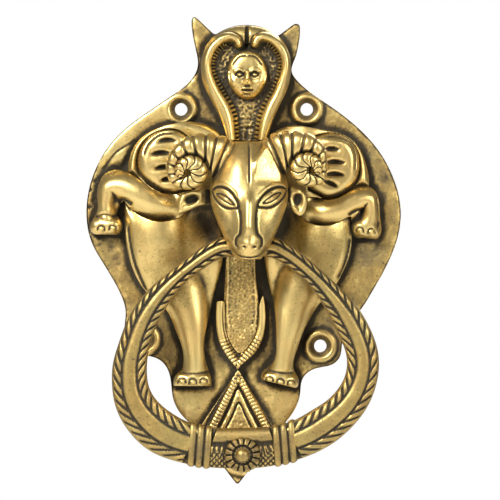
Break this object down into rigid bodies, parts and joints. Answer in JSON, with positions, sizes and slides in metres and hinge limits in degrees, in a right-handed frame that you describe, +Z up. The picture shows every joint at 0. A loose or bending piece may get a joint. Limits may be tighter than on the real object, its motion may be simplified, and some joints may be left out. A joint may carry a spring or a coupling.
{
  "type": "door knocker",
  "caption": "Cast brass ring knocker: a shaped plate with two beasts sharing one ram's head, a cobra hood above, and a rope-edged ring swinging in the ram's jaw.",
  "frame": {"origin": "on the plate's flat back face, at the middle of its width and height", "axes": "+Z up the door, +Y into the door, +X to the right as seen from the front"},
  "size_m": [0.1351, 0.04, 0.2008],
  "materials": {
    "plate_brass": "rough sand-cast brass, dark in the hollows and rubbed at the rim",
    "relief_brass": "cast brass rubbed bright on the high parts over brown patina",
    "head_brass": "rubbed cast brass with nearly black hollows",
    "dark_brass": "grainy cast brass under heavy patina",
    "turned_brass": "dull turned brass",
    "ring_brass": "hand-worn polished brass with dark rope grooves"
  },
  "bodies": {
    "plate": {"back_plate": "plate_brass", "left_beast_body": "relief_brass", "right_beast_body": "relief_brass", "left_foreleg": "relief_brass", "right_foreleg": "relief_brass", "left_mane": "relief_brass", "right_mane": "relief_brass", "cobra_hood": "relief_brass", "hood_face": "head_brass", "chest_panel": "dark_brass", "tail_loop": "dark_brass", "tail_chevron": "dark_brass", "ram_head": "head_brass", "left_horn": "head_brass", "right_horn": "head_brass", "left_ear": "head_brass", "right_ear": "head_brass", "pivot_pin": "turned_brass", "head_bolts": "turned_brass", "strike_stud": "turned_brass"},
    "ring": {"knocker_ring": "ring_brass", "left_collar": "ring_brass", "right_collar": "ring_brass", "rosette": "ring_brass", "striker_rivet": "ring_brass"}
  },
  "joints": [
    {"name": "ring_swing", "type": "hinge", "parent": "plate", "child": "ring", "pos_m": [0.0022, -0.021, 0.0015], "axis": [-1, 0, 0], "range_deg": [0, 140]}
  ]
}
